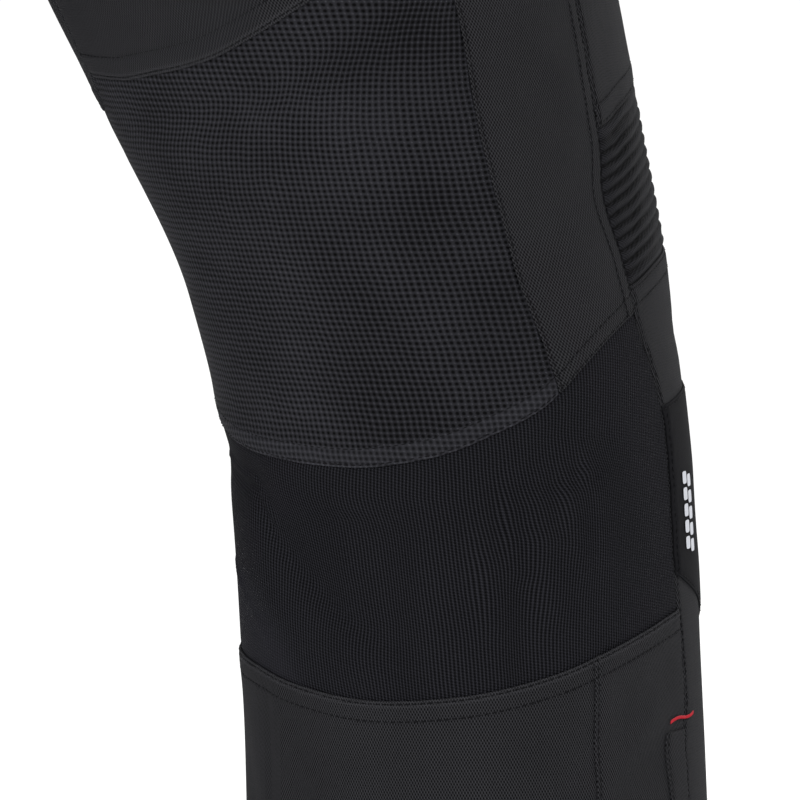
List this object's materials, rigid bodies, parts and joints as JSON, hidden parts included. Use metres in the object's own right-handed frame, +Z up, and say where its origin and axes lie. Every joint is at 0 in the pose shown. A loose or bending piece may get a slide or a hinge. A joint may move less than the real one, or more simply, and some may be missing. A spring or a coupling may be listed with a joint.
{
  "type": "motorcycle trousers",
  "caption": "Long motorcycle trousers in black cloth, worn shape, with mesh thigh backs, a stretch panel behind each knee and accordion pleats above it.",
  "frame": {"origin": "the centre of the waist, in the plane of the waistband's top edge, where the wearer holds the trousers up", "axes": "+Z up along the body, the front faces -Y, the wearer's right leg is at -X"},
  "size_m": [0.6318, 0.34, 1.0701],
  "materials": {
    "woven_textile": "matt woven polyester, fine diagonal grain, near black",
    "coarse_mesh": "coarse open mesh over a backing, near black",
    "rib_knit_stretch": "soft rib knit, matt, blue-black",
    "accordion_stretch": "woven stretch cloth in sewn pleats, near black",
    "coated_knee_cloth": "smooth coated cloth, near black, with small light reflective tiles",
    "blackened_metal": "blackened snap, satin"
  },
  "bodies": {
    "root": {"seat_right": "woven_textile", "seat_left": "woven_textile", "mesh_back_right": "coarse_mesh", "mesh_back_left": "coarse_mesh", "side_back_right": "woven_textile", "side_back_left": "woven_textile", "knee_back_stretch_right": "rib_knit_stretch", "knee_back_stretch_left": "rib_knit_stretch", "calf_back_right": "woven_textile", "calf_back_left": "woven_textile", "calf_side_right": "woven_textile", "calf_side_left": "woven_textile", "calf_zip_flap_right": "woven_textile", "calf_zip_flap_left": "woven_textile", "thigh_front_right": "woven_textile", "thigh_front_left": "woven_textile", "knee_accordion_right": "accordion_stretch", "knee_accordion_left": "accordion_stretch", "knee_front_right": "woven_textile", "knee_front_left": "woven_textile", "knee_patch_right": "coated_knee_cloth", "knee_patch_left": "coated_knee_cloth", "waistband": "woven_textile", "fly_flap_left": "woven_textile", "waist_snap": "blackened_metal"}
  },
  "joints": []
}
